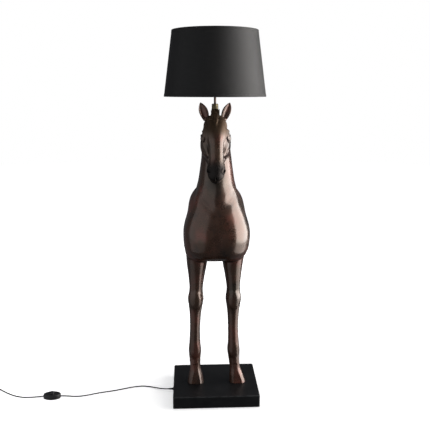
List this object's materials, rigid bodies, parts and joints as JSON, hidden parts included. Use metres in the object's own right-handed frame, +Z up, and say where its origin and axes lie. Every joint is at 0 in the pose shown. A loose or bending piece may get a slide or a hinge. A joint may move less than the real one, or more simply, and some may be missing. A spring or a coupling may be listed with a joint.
{
  "type": "figural floor lamp",
  "caption": "Floor lamp: the front half of a standing foal in a glossy bronze finish on a black plinth, with a tapered black drum shade and a corded foot switch.",
  "frame": {"origin": "on the stem and shade axis, at the floor under the rubber feet", "axes": "+Z up, -Y towards the viewer (the figure's front), +X to the viewer's right; the cord leaves towards -X"},
  "size_m": [1.3025, 0.41, 1.542],
  "materials": {
    "bronze_finish": "cast resin with a glossy dark bronze finish, reddish and olive variation",
    "plinth_black": "satin black lacquer over board, worn lighter on the top edges",
    "ballast_iron": "rough cast iron",
    "cover_board": "matt black hardboard",
    "foot_rubber": "matt black rubber",
    "black_moulding": "satin black moulded plastic",
    "button_black": "smooth black moulded plastic",
    "zinc_steel": "zinc-plated steel",
    "spring_steel": "spring wire",
    "dark_stem": "dark bronze lacquered tube",
    "aged_brass": "aged olive-brown brass",
    "bright_brass": "plain brass",
    "holder_black": "black thermoplastic",
    "holder_white": "glazed ceramic",
    "bulb_cap_metal": "plain aluminium screw cap",
    "bulb_opal": "opal white diffuser",
    "shade_fabric": "black plain-weave cotton",
    "shade_liner": "white styrene lining",
    "shade_wire": "black enamelled wire",
    "cord_sheath": "black flexible sheath, slightly glossy",
    "tie_black": "black tie strip",
    "pin_nickel": "nickel-plated brass"
  },
  "bodies": {
    "lamp": {"plinth": "plinth_black", "ballast_front": "ballast_iron", "ballast_rear": "ballast_iron", "ballast_screws": "zinc_steel", "plinth_cover": "cover_board", "cover_screws": "zinc_steel", "rubber_feet": "foot_rubber", "cord_gland": "black_moulding", "cable_clamp": "black_moulding", "clamp_screws": "zinc_steel", "leg_left": "bronze_finish", "leg_right": "bronze_finish", "leg_tube_left": "zinc_steel", "leg_rod_right": "zinc_steel", "leg_washers": "zinc_steel", "leg_nuts": "zinc_steel", "torso": "bronze_finish", "head": "bronze_finish", "ear_left": "bronze_finish", "ear_right": "bronze_finish", "stem_tube": "dark_stem", "stem_washer": "zinc_steel", "stem_nut": "zinc_steel", "stem_collar": "aged_brass", "holder_cap": "holder_black", "holder_body": "holder_black", "holder_insert": "holder_white", "contact_tongue": "bright_brass", "thread_sleeve": "bright_brass", "shade_ring": "holder_black", "bulb_base": "bulb_cap_metal", "bulb_glass": "bulb_opal", "switch_base": "black_moulding", "switch_cover": "black_moulding", "switch_screws": "zinc_steel", "switch_spring": "spring_steel", "switch_contacts": "bright_brass", "internal_lead": "cord_sheath", "cord_lamp_side": "cord_sheath", "cord_plug_side": "cord_sheath", "cord_coil": "cord_sheath", "cord_tail": "cord_sheath", "coil_tie": "tie_black", "plug_body": "black_moulding", "plug_pins": "pin_nickel"},
    "shade": {"shade_cover": "shade_fabric", "shade_lining": "shade_liner", "shade_top_ring": "shade_wire", "shade_frame": "shade_wire"},
    "button": {"switch_button": "button_black"}
  },
  "joints": [
    {"name": "shade_turn", "type": "hinge", "parent": "lamp", "child": "shade", "pos_m": [0, 0, 1.321], "axis": [0, 0, 1], "continuous": true},
    {"name": "switch_press", "type": "slide", "parent": "lamp", "child": "button", "axis": [0, 0, -1], "range_m": [0, 0.003], "stiffness_N_per_m": 600, "springref_m": -0.003, "deforming": ["switch_spring"]}
  ]
}
